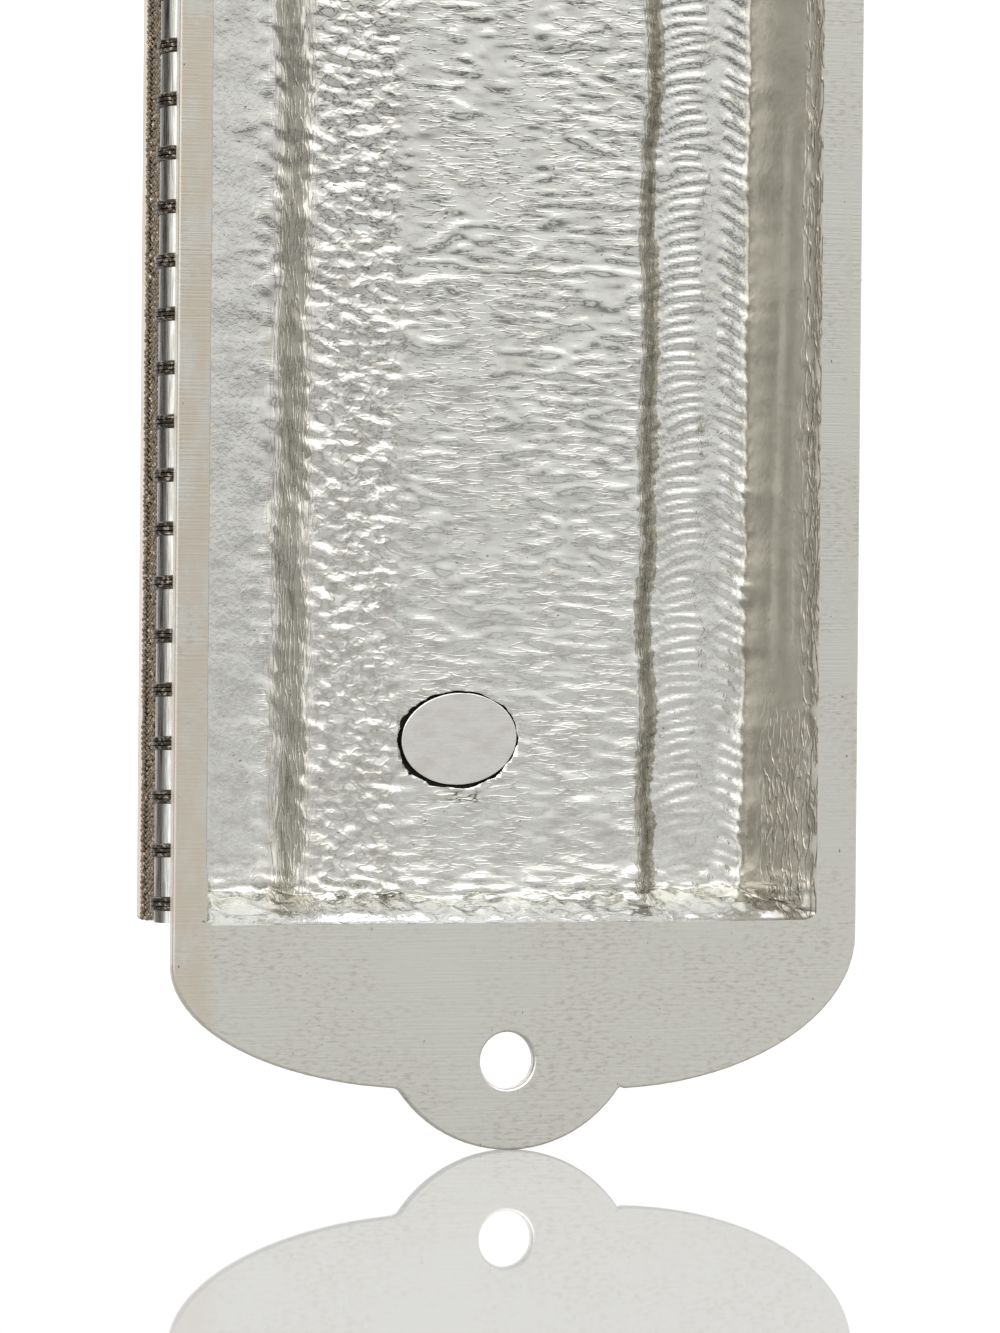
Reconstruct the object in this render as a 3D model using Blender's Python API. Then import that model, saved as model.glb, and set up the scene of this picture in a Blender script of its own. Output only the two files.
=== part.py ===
"""Mezuzah case: a cast metal case for a small parchment scroll, screwed flat to a doorpost.

Metres, +Z up. The origin is the middle of the back face (the plane Y = 0), which lies on the
doorpost. The front faces -Y. Right and left are as seen from the front, so +X is the right.
"""

import math

import bmesh
import bpy
from mathutils import Vector

MM = 0.001

# Back flange: a flat plate with a rounded shoulder and a screw lug at each end.
FLANGE_WIDTH = 38.0 * MM
FLANGE_THICKNESS = 0.7 * MM
OVERALL_LENGTH = 124.0 * MM
LUG_RADIUS = 7.4 * MM
LUG_HALF_WIDTH = 6.1 * MM
LUG_OFFSET = 0.5 * MM
LUG_STEPS = 24

# Shoulders: each is part of an ellipse, from the flange's long edge to the notch at the lug.
RIGHT_SHOULDER_CENTRE = 4.5 * MM
RIGHT_SHOULDER_START = 52.1 * MM
RIGHT_SHOULDER_RISE = 6.66 * MM
RIGHT_NOTCH = 6.85 * MM
LEFT_SHOULDER_CENTRE = -5.0 * MM
LEFT_SHOULDER_START = 50.85 * MM
LEFT_SHOULDER_RISE = 8.05 * MM
LEFT_NOTCH = -5.9 * MM
SHOULDER_STEPS = 20

# Screw holes through the lugs.
HOLE_DIAMETER = 3.0 * MM
HOLE_HEIGHT = 57.3 * MM
HOLE_OFFSET = 0.7 * MM
HOLE_STEPS = 32

# Cast body in front of the flange.
BODY_HALF_WIDTH = 17.6 * MM
BODY_HALF_LENGTH = 51.2 * MM
BODY_DEPTH = 6.2 * MM
BODY_END_SLOPE = 0.21

# Scroll cavity, open at the back: a raised middle field between two deeper channels.
CAVITY_HALF_LENGTH = 50.1 * MM
CAVITY_DEPTH = 5.6 * MM
FIELD_DEPTH = 4.2 * MM
FIELD_HOLLOW = 0.1 * MM
CAVITY_RIGHT = 17.2 * MM
CAVITY_LEFT = -16.65 * MM
RIGHT_DRAFT = 1.7 * MM
LEFT_DRAFT = 2.05 * MM
END_DRAFT = 1.1 * MM
FIELD_RIGHT = 10.6 * MM
FIELD_LEFT = -7.75 * MM
RAMP_WIDTH = 1.65 * MM
RAMP_STEPS = 5
FIELD_STEPS = 6
CORNER_RADIUS = 0.7 * MM
CORNER_STEPS = 4

# Recess in the front of the body, which holds the front panel.
RECESS_HALF_WIDTH = 7.4 * MM
RECESS_HALF_LENGTH = 44.0 * MM
RECESS_FLOOR = 5.3 * MM

# Blank oval plaque let into the cavity's middle field.
PLAQUE_CENTRE_X = 2.1 * MM
PLAQUE_CENTRE_Z = -40.5 * MM
PLAQUE_LENGTH = 6.5 * MM
PLAQUE_HEIGHT = 4.9 * MM
PLAQUE_THICKNESS = 0.35 * MM
PLAQUE_FACE = 4.25 * MM
PLAQUE_TILT = math.radians(-4.0)
PLAQUE_STEPS = 48
POCKET_FLOOR = 4.85 * MM

# Half-round rods along both sides, bound with wire at a regular pitch.
ROD_HALF_LENGTH = 50.0 * MM
ROD_HALF_WIDTH = 1.15 * MM
ROD_HEIGHT = 1.25 * MM
ROD_CENTRE_DEPTH = 2.3 * MM
BINDING_PITCH = 2.775 * MM
BINDING_COUNT = 36
FIRST_BINDING = -49.1 * MM
BINDING_WIDTH = 0.8 * MM
BINDING_HALF_WIDTH = 1.3 * MM
BINDING_HEIGHT = 1.5 * MM
ROD_STEPS = 8

# Granulated strips: one along each side in front of the rod, one across each end.
STRIP_THICKNESS = 0.9 * MM
STRIP_BACK = 3.9 * MM
STRIP_FRONT = 5.4 * MM
END_STRIP_HALF_WIDTH = 16.4 * MM
END_STRIP_BACK = 1.0 * MM
END_STRIP_FRONT = 5.4 * MM

# Front frame, front panel and the ornament on it.
FRAME_THICKNESS = 0.8 * MM
FRAME_RIM_BACK = 5.7 * MM
FRAME_HALF_LENGTH = 50.1 * MM
WINDOW_HALF_WIDTH = 8.2 * MM
WINDOW_HALF_LENGTH = 44.6 * MM
PANEL_THICKNESS = 0.6 * MM
FRAME_EDGE_ROUND = 0.25 * MM
ORNAMENT_THICKNESS = 0.8 * MM
ORNAMENT_HEIGHT = 30.0 * MM
LEAF_HEIGHT = 10.5 * MM
LEAF_HALF_WIDTH = 4.6 * MM
LEAF_COUNT = 3
LEAF_STEPS = 10

GAP = 0.3 * MM
OVERCUT = 1.0 * MM


def clear_scene():
    for item in list(bpy.data.objects):
        bpy.data.objects.remove(item, do_unlink=True)


def make_material(name, colour, roughness, metallic=1.0):
    material = bpy.data.materials.new(name)
    material.use_nodes = True
    shader = material.node_tree.nodes["Principled BSDF"]
    shader.inputs["Base Color"].default_value = (*colour, 1.0)
    shader.inputs["Roughness"].default_value = roughness
    shader.inputs["Metallic"].default_value = metallic
    return material


def make_object(name, mesh_data, material=None):
    """Put a finished bmesh in the scene as one named object."""
    bmesh.ops.recalc_face_normals(mesh_data, faces=mesh_data.faces)
    mesh = bpy.data.meshes.new(name)
    mesh_data.to_mesh(mesh)
    mesh_data.free()
    item = bpy.data.objects.new(name, mesh)
    bpy.context.scene.collection.objects.link(item)
    if material:
        mesh.materials.append(material)
    return item


def prism(outline, back, front):
    """A plate: an (x, z) outline from depth back to depth front, both measured from Y = 0."""
    solid = bmesh.new()
    ring = [solid.verts.new((x, -back, z)) for x, z in outline]
    face = solid.faces.new(ring)
    grown = bmesh.ops.extrude_face_region(solid, geom=[face])
    moved = [part for part in grown["geom"] if isinstance(part, bmesh.types.BMVert)]
    bmesh.ops.translate(solid, verts=moved, vec=(0.0, back - front, 0.0))
    return solid


def rectangle(half_width, half_length):
    return [
        (half_width, -half_length),
        (half_width, half_length),
        (-half_width, half_length),
        (-half_width, -half_length),
    ]


def oval(centre_x, centre_z, length, height, steps, tilt=0.0):
    points = []
    for step in range(steps):
        angle = math.tau * step / steps
        x = 0.5 * length * math.cos(angle)
        z = 0.5 * height * math.sin(angle)
        points.append(
            (
                centre_x + x * math.cos(tilt) - z * math.sin(tilt),
                centre_z + x * math.sin(tilt) + z * math.cos(tilt),
            )
        )
    return points


def make_cutter(name, mesh_data):
    item = make_object(name, mesh_data)
    item.hide_render = True
    item.display_type = "WIRE"
    return item


def add_boolean(target, other, operation="DIFFERENCE"):
    boolean = target.modifiers.new(other.name, "BOOLEAN")
    boolean.object = other
    boolean.operation = operation
    boolean.solver = "EXACT"


def add_bevel(target, width, segments=2):
    bevel = target.modifiers.new("edge_round", "BEVEL")
    bevel.width = width
    bevel.segments = segments
    bevel.limit_method = "ANGLE"


def shoulder(edge, centre, start, rise, notch):
    """Upper-end shoulder: an ellipse from the flange's long edge, cut off at the notch."""
    last = math.acos((notch - centre) / (edge - centre))
    points = []
    for step in range(SHOULDER_STEPS + 1):
        angle = last * step / SHOULDER_STEPS
        points.append((centre + (edge - centre) * math.cos(angle), start + rise * math.sin(angle)))
    return points


def lug():
    """Upper-end screw lug: an arc between the two notches, from right to left."""
    centre = 0.5 * OVERALL_LENGTH - LUG_RADIUS
    start = math.acos(LUG_HALF_WIDTH / LUG_RADIUS)
    points = []
    for step in range(LUG_STEPS + 1):
        angle = start + (math.pi - 2.0 * start) * step / LUG_STEPS
        x = LUG_OFFSET + LUG_RADIUS * math.cos(angle)
        points.append((x, centre + LUG_RADIUS * math.sin(angle)))
    return points


def flange_outline():
    half = 0.5 * FLANGE_WIDTH
    right = shoulder(
        half, RIGHT_SHOULDER_CENTRE, RIGHT_SHOULDER_START, RIGHT_SHOULDER_RISE, RIGHT_NOTCH
    )
    left = shoulder(
        -half, LEFT_SHOULDER_CENTRE, LEFT_SHOULDER_START, LEFT_SHOULDER_RISE, LEFT_NOTCH
    )
    upper = right + lug() + left[::-1]
    lower = [(x, -z) for x, z in reversed(upper)]
    return upper + lower


def ramp(start_x, start_depth, end_x, end_depth):
    """A smooth S-shaped step between two depths."""
    points = []
    for step in range(RAMP_STEPS + 1):
        part = step / RAMP_STEPS
        ease = 0.5 - 0.5 * math.cos(math.pi * part)
        points.append((start_x + (end_x - start_x) * part, start_depth + (end_depth - start_depth) * ease))
    return points


def corner(foot, side):
    """Rounded foot between a sloping side wall and the channel floor, from wall to floor."""
    points = []
    for step in range(CORNER_STEPS + 1):
        angle = 0.5 * math.pi * step / CORNER_STEPS
        x = foot - side * CORNER_RADIUS * (1.0 - math.cos(angle))
        points.append((x, CAVITY_DEPTH - CORNER_RADIUS * (1.0 - math.sin(angle))))
    return points


def cavity_profile():
    """Section of the cavity as (x, depth), from the right-hand edge across the floor to the left."""
    points = [(CAVITY_RIGHT + OVERCUT * RIGHT_DRAFT / CAVITY_DEPTH, -OVERCUT)]
    points += corner(CAVITY_RIGHT - RIGHT_DRAFT, 1.0)
    points += ramp(FIELD_RIGHT + RAMP_WIDTH, CAVITY_DEPTH, FIELD_RIGHT, FIELD_DEPTH)
    for step in range(1, FIELD_STEPS):
        part = step / FIELD_STEPS
        x = FIELD_RIGHT + (FIELD_LEFT - FIELD_RIGHT) * part
        points.append((x, FIELD_DEPTH + FIELD_HOLLOW * math.sin(math.pi * part)))
    points += ramp(FIELD_LEFT, FIELD_DEPTH, FIELD_LEFT - RAMP_WIDTH, CAVITY_DEPTH)
    points += corner(CAVITY_LEFT + LEFT_DRAFT, -1.0)[::-1]
    points.append((CAVITY_LEFT - OVERCUT * LEFT_DRAFT / CAVITY_DEPTH, -OVERCUT))
    return points


def cavity_cutter():
    """The cavity as a solid: its section run along Z, with end walls that lean inwards."""
    solid = bmesh.new()
    rings = []
    for end in (-1.0, 1.0):
        ring = []
        for x, depth in cavity_profile():
            z = end * (CAVITY_HALF_LENGTH - END_DRAFT * depth / CAVITY_DEPTH)
            ring.append(solid.verts.new((x, -depth, z)))
        rings.append(ring)
        solid.faces.new(ring)
    edges = [edge for edge in solid.edges]
    bmesh.ops.bridge_loops(solid, edges=edges)
    return make_cutter("cavity_cutter", solid)


def lean_ends(solid):
    """Lean a solid's ends inwards towards the front, as the casting's ends do."""
    for vert in solid.verts:
        vert.co.z -= math.copysign(BODY_END_SLOPE * vert.co.y, vert.co.z)


def case_body(material):
    """The casting: flange, box, cavity, plaque pocket, front recess and two screw holes."""
    body = make_object(
        "case_body", prism(flange_outline(), 0.0, FLANGE_THICKNESS), material
    )
    block = prism(rectangle(BODY_HALF_WIDTH, BODY_HALF_LENGTH), 0.5 * FLANGE_THICKNESS, BODY_DEPTH)
    lean_ends(block)
    add_boolean(body, make_cutter("body_block", block), "UNION")
    add_boolean(body, cavity_cutter())
    pocket = oval(
        PLAQUE_CENTRE_X,
        PLAQUE_CENTRE_Z,
        PLAQUE_LENGTH + 2.0 * GAP,
        PLAQUE_HEIGHT + 2.0 * GAP,
        PLAQUE_STEPS,
        PLAQUE_TILT,
    )
    add_boolean(body, make_cutter("plaque_pocket", prism(pocket, OVERCUT, POCKET_FLOOR)))
    recess = rectangle(RECESS_HALF_WIDTH, RECESS_HALF_LENGTH)
    add_boolean(
        body, make_cutter("front_recess", prism(recess, RECESS_FLOOR, BODY_DEPTH + OVERCUT))
    )
    for name, end in (("upper_hole", 1.0), ("lower_hole", -1.0)):
        circle = oval(HOLE_OFFSET, end * HOLE_HEIGHT, HOLE_DIAMETER, HOLE_DIAMETER, HOLE_STEPS)
        hole = prism(circle, -OVERCUT, FLANGE_THICKNESS + OVERCUT)
        add_boolean(body, make_cutter(name, hole))
    return body


def maker_plaque(material):
    outline = oval(
        PLAQUE_CENTRE_X, PLAQUE_CENTRE_Z, PLAQUE_LENGTH, PLAQUE_HEIGHT, PLAQUE_STEPS, PLAQUE_TILT
    )
    plaque = prism(outline, PLAQUE_FACE, PLAQUE_FACE + PLAQUE_THICKNESS)
    return make_object("maker_plaque", plaque, material)


def rod_sections():
    """(z, half width, height) down the rod: a plain rod with a raised collar at each binding."""
    plain = (ROD_HALF_WIDTH, ROD_HEIGHT)
    bound = (BINDING_HALF_WIDTH, BINDING_HEIGHT)
    sections = [(-ROD_HALF_LENGTH, *plain)]
    for index in range(BINDING_COUNT):
        middle = FIRST_BINDING + index * BINDING_PITCH
        half = 0.5 * BINDING_WIDTH
        shape = ((-half, plain), (-0.5 * half, bound), (0.5 * half, bound), (half, plain))
        for offset, (half_width, height) in shape:
            sections.append((middle + offset, half_width, height))
    sections.append((ROD_HALF_LENGTH, *plain))
    return sections


def bound_rod(name, side, material):
    """Half-round rod with its wire bindings, lying on the body's side wall."""
    base = BODY_HALF_WIDTH + GAP
    solid = bmesh.new()
    rings = []
    for z, half_width, height in rod_sections():
        ring = []
        for step in range(ROD_STEPS + 1):
            angle = math.pi * step / ROD_STEPS
            x = base + height * math.sin(angle)
            y = -ROD_CENTRE_DEPTH + half_width * math.cos(angle)
            ring.append(solid.verts.new((side * x, y, z)))
        rings.append(ring)
    count = ROD_STEPS + 1
    for lower, upper in zip(rings, rings[1:]):
        for index in range(count):
            after = (index + 1) % count
            solid.faces.new((lower[index], lower[after], upper[after], upper[index]))
    solid.faces.new(rings[0])
    solid.faces.new(rings[-1])
    rod = make_object(name, solid, material)
    rod.data.shade_smooth()
    rod.data.set_sharp_from_angle(angle=math.radians(40.0))
    return rod


def bar(name, low, high, material, leaning=False):
    """A straight bar between two corners, which can lean with the casting's ends."""
    low, high = Vector(low), Vector(high)
    solid = bmesh.new()
    bmesh.ops.create_cube(solid, size=1.0)
    bmesh.ops.scale(solid, verts=solid.verts, vec=high - low)
    bmesh.ops.translate(solid, verts=solid.verts, vec=0.5 * (low + high))
    if leaning:
        lean_ends(solid)
    return make_object(name, solid, material)


def granulated_strips(material):
    inner = BODY_HALF_WIDTH + GAP
    outer = inner + STRIP_THICKNESS
    for name, side in (("right", 1.0), ("left", -1.0)):
        near, far = sorted((side * inner, side * outer))
        bar(
            "granulated_strip_" + name,
            (near, -STRIP_FRONT, -ROD_HALF_LENGTH),
            (far, -STRIP_BACK, ROD_HALF_LENGTH),
            material,
        )
    inner = BODY_HALF_LENGTH + GAP
    outer = inner + STRIP_THICKNESS
    for name, end in (("upper", 1.0), ("lower", -1.0)):
        near, far = sorted((end * inner, end * outer))
        bar(
            "granulated_end_" + name,
            (-END_STRIP_HALF_WIDTH, -END_STRIP_FRONT, near),
            (END_STRIP_HALF_WIDTH, -END_STRIP_BACK, far),
            material,
            leaning=True,
        )


def front_frame(material):
    """The front plate with its window, and a rim turned back along both long sides."""
    back = BODY_DEPTH + GAP
    front = back + FRAME_THICKNESS
    outer = rectangle(0.5 * FLANGE_WIDTH, FRAME_HALF_LENGTH)
    frame = make_object("front_frame", prism(outer, FRAME_RIM_BACK, front), material)
    hollow = rectangle(BODY_HALF_WIDTH + GAP, FRAME_HALF_LENGTH + OVERCUT)
    add_boolean(frame, make_cutter("frame_hollow", prism(hollow, FRAME_RIM_BACK - OVERCUT, back)))
    window = rectangle(WINDOW_HALF_WIDTH, WINDOW_HALF_LENGTH)
    add_boolean(frame, make_cutter("frame_window", prism(window, back - OVERCUT, front + OVERCUT)))
    add_bevel(frame, FRAME_EDGE_ROUND)
    return frame


def front_panel(material):
    front = RECESS_FLOOR + GAP + PANEL_THICKNESS
    outline = rectangle(RECESS_HALF_WIDTH - GAP, RECESS_HALF_LENGTH - GAP)
    return make_object("front_panel", prism(outline, RECESS_FLOOR + GAP, front), material)


def leaf(centre_z):
    """Outline of one pointed leaf, tip up."""
    points = []
    for step in range(2 * LEAF_STEPS):
        angle = math.pi * step / LEAF_STEPS
        swell = math.sin(angle) * (0.5 + 0.5 * math.cos(0.5 * angle) ** 2)
        points.append((LEAF_HALF_WIDTH * swell, centre_z - 0.5 * LEAF_HEIGHT * math.cos(angle)))
    return points


def front_ornament(material):
    """A column of three overlapping leaves, one solid, lying on the front panel."""
    back = RECESS_FLOOR + GAP + PANEL_THICKNESS + GAP
    front = back + ORNAMENT_THICKNESS
    spacing = (ORNAMENT_HEIGHT - LEAF_HEIGHT) / (LEAF_COUNT - 1)
    stem = rectangle(0.1 * LEAF_HALF_WIDTH, 0.5 * ORNAMENT_HEIGHT - 0.2 * LEAF_HEIGHT)
    ornament = make_object("front_ornament", prism(stem, back, front), material)
    for index in range(LEAF_COUNT):
        centre = (index - 0.5 * (LEAF_COUNT - 1)) * spacing
        piece = prism(leaf(centre), back, front)
        add_boolean(ornament, make_cutter("leaf_%d" % (index + 1), piece), "UNION")
    return ornament


def main():
    clear_scene()
    cast_silver = make_material("plated_casting", (0.53, 0.51, 0.46), 0.35)
    satin_silver = make_material("satin_plate", (0.56, 0.54, 0.50), 0.25)
    polished = make_material("polished_rod", (0.60, 0.59, 0.57), 0.15)
    patinated = make_material("patinated_granules", (0.20, 0.17, 0.13), 0.5)
    warm_edge = make_material("warm_satin_plate", (0.55, 0.48, 0.40), 0.35)
    case_body(cast_silver)
    maker_plaque(satin_silver)
    bound_rod("bound_rod_right", 1.0, polished)
    bound_rod("bound_rod_left", -1.0, polished)
    granulated_strips(patinated)
    front_frame(warm_edge)
    front_panel(cast_silver)
    front_ornament(satin_silver)


main()
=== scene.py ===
# %% [markdown]
# # A cast mezuzah case, seen from its hollow back
# The case is a shallow metal casting that screws flat to a doorpost. Its back is open and holds
# the rolled scroll, so the back shows what the front never does: the rough skin that the metal
# took from its mould, a flange ground flat, and a small oval plaque let into the floor.
#
# The fixed frame gives every piece its place and size. This script gives each piece its real
# surface, and it starts with the frame and the few helpers that all the later steps use.

import math
import random

import bmesh
import bpy
from mathutils import Matrix, Vector, noise
from mathutils.bvhtree import BVHTree


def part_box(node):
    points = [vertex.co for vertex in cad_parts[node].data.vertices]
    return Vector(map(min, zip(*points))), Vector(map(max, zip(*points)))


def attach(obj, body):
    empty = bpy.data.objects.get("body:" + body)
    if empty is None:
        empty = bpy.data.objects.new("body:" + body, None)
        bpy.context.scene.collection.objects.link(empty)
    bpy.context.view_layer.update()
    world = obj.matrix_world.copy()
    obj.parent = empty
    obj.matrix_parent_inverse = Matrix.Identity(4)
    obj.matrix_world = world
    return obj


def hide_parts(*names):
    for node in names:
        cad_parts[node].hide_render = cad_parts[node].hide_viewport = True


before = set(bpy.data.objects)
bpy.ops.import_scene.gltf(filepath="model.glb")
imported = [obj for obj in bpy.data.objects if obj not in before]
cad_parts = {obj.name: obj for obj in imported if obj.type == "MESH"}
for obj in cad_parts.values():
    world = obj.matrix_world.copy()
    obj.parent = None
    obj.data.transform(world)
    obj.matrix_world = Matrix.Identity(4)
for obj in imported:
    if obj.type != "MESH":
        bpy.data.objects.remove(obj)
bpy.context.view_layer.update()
BODY = "root"
MM = 0.001
print("pieces in the frame:", sorted(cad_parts))


# %% Sizes read from the frame
def node_box(node):
    """A node's lowest and highest corners as vectors."""
    low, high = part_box(node)
    return Vector(low), Vector(high)


body_low, body_high = node_box("case_body")
plaque_low, plaque_high = node_box("maker_plaque")
FLOOR_HEIGHT = body_low.z
print("case body %.1f x %.1f x %.1f mm" % tuple((body_high - body_low) / MM))


# %% [markdown]
# ## Helpers
# Colours are written as the hex values that a colour picker shows, so one function turns them
# into the linear values that a shader works in. A second adds a node with its settings and
# links, which keeps every material readable from top to bottom. A third turns a finished bmesh
# into a piece that rides on the case, because every piece needs the same few steps.

# %% Colour and node helpers
def linear(hex_colour):
    """An sRGB hex colour as linear red, green, blue and alpha."""
    values = [int(hex_colour[start : start + 2], 16) / 255 for start in (1, 3, 5)]
    return [v / 12.92 if v <= 0.04045 else ((v + 0.055) / 1.055) ** 2.4 for v in values] + [1.0]


def add_node(tree, kind, output, inputs, stops=(), **settings):
    """Add one node, set its properties, set or link its inputs, and give back one output.

    Inputs and the output are named, or numbered where a node has several of one name.
    Stops are the (place, grey) pairs of a colour ramp.
    """
    node = tree.nodes.new(kind)
    for name, value in settings.items():
        setattr(node, name, value)
    for name, value in inputs.items():
        if isinstance(value, bpy.types.NodeSocket):
            tree.links.new(value, node.inputs[name])
        else:
            node.inputs[name].default_value = value
    for index, (place, grey) in enumerate(stops):
        points = node.color_ramp.elements
        point = points[index] if index < 2 else points.new(place)
        point.position = place
        point.color = (grey, grey, grey, 1.0)
    return node.outputs[output]


def new_material(name, metallic, roughness):
    """A material with a Principled shader, ready for its pattern: (material, tree, shader)."""
    material = bpy.data.materials.new(name)
    material.use_nodes = True
    tree = material.node_tree
    shader = tree.nodes["Principled BSDF"]
    shader.inputs["Metallic"].default_value = metallic
    shader.inputs["Roughness"].default_value = roughness
    return material, tree, shader


# %% Mesh helpers
def finish_piece(name, shape, materials, replaces=(), sharp=40.0, flats=False):
    """Turn a bmesh into a finished piece that rides on the case."""
    mesh = bpy.data.meshes.new(name)
    shape.to_mesh(mesh)
    shape.free()
    piece = bpy.data.objects.new(name, mesh)
    bpy.context.scene.collection.objects.link(piece)
    for material in materials:
        mesh.materials.append(material)
    mesh.shade_smooth()
    mesh.set_sharp_from_angle(angle=math.radians(sharp))
    if flats:
        for face in mesh.polygons:
            face.use_smooth = max(abs(part) for part in face.normal) < 0.9999
    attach(piece, BODY)
    if replaces:
        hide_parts(*replaces)
    print(name, len(mesh.polygons), "faces")
    return piece


def smooth_step(low, high, value):
    """0 below low, 1 above high, and an even S between them."""
    part = min(1.0, max(0.0, (value - low) / (high - low)))
    return part * part * (3.0 - 2.0 * part)


def band(value, low, high, soft):
    """1 between low and high, fading to 0 over a soft edge on both sides."""
    return smooth_step(low - soft, low + soft, value) * (1.0 - smooth_step(high - soft, high + soft, value))


# %% [markdown]
# ## Camera
# The case is looked at from behind, a little from its right-hand side, so that one side wall
# shows beyond the flange. The camera is nearly level and close, about 30 cm away, so a slight
# perspective remains: rings round the side rods tip one way above it and the other way below.

# %% Camera
VIEW_AZIMUTH = math.radians(161.0)
VIEW_ELEVATION = math.radians(0.6)
VIEW_ROLL = math.radians(0.5)
VIEW_DISTANCE = 310 * MM
VIEW_HEIGHT = -36.6 * MM
VIEW_SIDE_STEP = -1.25 * MM
FRAME_HEIGHT = 70.0 * MM
SENSOR = 36.0

camera_data = bpy.data.cameras.new("camera")
camera_data.sensor_width = SENSOR
camera_data.lens = SENSOR * VIEW_DISTANCE / FRAME_HEIGHT
camera = bpy.data.objects.new("camera", camera_data)
bpy.context.scene.collection.objects.link(camera)
level = Vector((math.sin(VIEW_AZIMUTH), -math.cos(VIEW_AZIMUTH), 0.0))
away = math.cos(VIEW_ELEVATION) * level + Vector((0.0, 0.0, math.sin(VIEW_ELEVATION)))
turn = away.to_track_quat("Z", "Y").to_matrix().to_4x4() @ Matrix.Rotation(VIEW_ROLL, 4, "Z")
aim = Vector((0.0, 0.0, VIEW_HEIGHT)) + VIEW_SIDE_STEP * turn.col[0].to_3d()
camera.matrix_world = Matrix.Translation(aim + VIEW_DISTANCE * away) @ turn
bpy.context.scene.camera = camera
print("lens %.0f mm" % camera_data.lens)

# %% [markdown]
# ## Floor and light
# Plated metal shows little colour of its own: it shows the room. A white studio all round gives
# the pale, even tone of the flange, and two soft boxes that are brighter than the rest give the
# crumpled skin its sparkle. The floor is glossy white acrylic, lit from below so that the case
# throws no shadow on it, and it mirrors the lug faintly.

# %% Floor
FLOOR_SIZE = 3.0
FLOOR_NEAR_EDGE = 0.15
floor_shape = bmesh.new()
bmesh.ops.create_grid(floor_shape, x_segments=1, y_segments=1, size=0.5 * FLOOR_SIZE)
bmesh.ops.translate(
    floor_shape, verts=floor_shape.verts, vec=(0.0, FLOOR_NEAR_EDGE - 0.5 * FLOOR_SIZE, FLOOR_HEIGHT)
)
floor_mesh = bpy.data.meshes.new("floor")
floor_shape.to_mesh(floor_mesh)
floor_shape.free()
floor = bpy.data.objects.new("floor", floor_mesh)
bpy.context.scene.collection.objects.link(floor)
floor_material, tree, shader = new_material("back_lit_white_acrylic", 0.0, 0.02)
shader.inputs["Base Color"].default_value = linear("#898989")
shader.inputs["Emission Color"].default_value = linear("#FFFFFF")
shader.inputs["Emission Strength"].default_value = 0.2
floor_mesh.materials.append(floor_material)
print("floor %.0f m wide at %.1f mm" % (FLOOR_SIZE, FLOOR_HEIGHT / MM))


# %% Light
OVERHEAD = 2.12
EVEN = 0.6
BEHIND_CAMERA = ((0.0, 0.02), (0.38, 0.08), (0.47, 0.34), (0.53, 0.42), (0.68, 0.5), (0.82, 1.0))
BEHIND_CASE = ((0.0, 0.1), (0.46, 0.57), (0.5, 0.58), (0.62, 0.58), (0.8, 0.65), (0.9, 1.0))
SOFT_BOXES = ((0.0, EVEN), (0.5, EVEN), (0.62, 0.9), (0.7, EVEN), (0.79, EVEN), (0.84, 1.05))
DARK_FLAGS = ((0.0, EVEN), (0.72, EVEN), (0.82, 0.2), (1.0, 0.15))

world = bpy.data.worlds.new("white_studio")
bpy.context.scene.world = world
world.use_nodes = True
tree = world.node_tree
way = add_node(tree, "ShaderNodeTexCoord", "Generated", {})
across_way = add_node(tree, "ShaderNodeSeparateXYZ", "X", {"Vector": way})
depth_way = add_node(tree, "ShaderNodeSeparateXYZ", "Y", {"Vector": way})
up_way = add_node(tree, "ShaderNodeSeparateXYZ", "Z", {"Vector": way})
all_round = {"From Min": -1.0, "From Max": 1.0}
rise = add_node(tree, "ShaderNodeMapRange", "Result", {"Value": up_way, **all_round})
sweep = add_node(tree, "ShaderNodeMapRange", "Result", {"Value": across_way, **all_round})
near_middle = {"From Min": -0.3, "From Max": 0.3}
side = add_node(tree, "ShaderNodeMapRange", "Result", {"Value": depth_way, **near_middle})
behind = add_node(tree, "ShaderNodeValToRGB", "Color", {"Fac": rise}, stops=BEHIND_CAMERA)
backdrop = add_node(tree, "ShaderNodeValToRGB", "Color", {"Fac": rise}, stops=BEHIND_CASE)
boxes = add_node(tree, "ShaderNodeValToRGB", "Color", {"Fac": sweep}, stops=SOFT_BOXES)
flags = add_node(tree, "ShaderNodeValToRGB", "Color", {"Fac": sweep}, stops=DARK_FLAGS)
room = add_node(tree, "ShaderNodeMix", 2, {0: side, 6: backdrop, 7: behind}, data_type="RGBA")
around = add_node(tree, "ShaderNodeMix", 2, {0: side, 6: flags, 7: boxes}, data_type="RGBA")
power = add_node(tree, "ShaderNodeMath", "Value", {0: around, 1: OVERHEAD / EVEN}, operation="MULTIPLY")
background = tree.nodes["Background"]
tree.links.new(room, background.inputs["Color"])
tree.links.new(power, background.inputs["Strength"])
bpy.context.scene.view_settings.view_transform = "Standard"
print("studio light, brightest part", OVERHEAD)

# %% [markdown]
# ## Metal finishes
# The case is cast, then plated a silver colour with a slight warmth, like nickel. All its
# metals share that plate. What differs is the surface under it: the hollow keeps its mould
# skin, the flange was ground on a belt, the plaque was satin brushed, and the rods were buffed.
#
# Every pattern starts from a real size in millimetres, such as the length of a grinding mark or
# the width of a granule, and reads the place on the case, so it stays put from every side.

# %% Pattern helpers
PLATE = "#D8D8D2"


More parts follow.
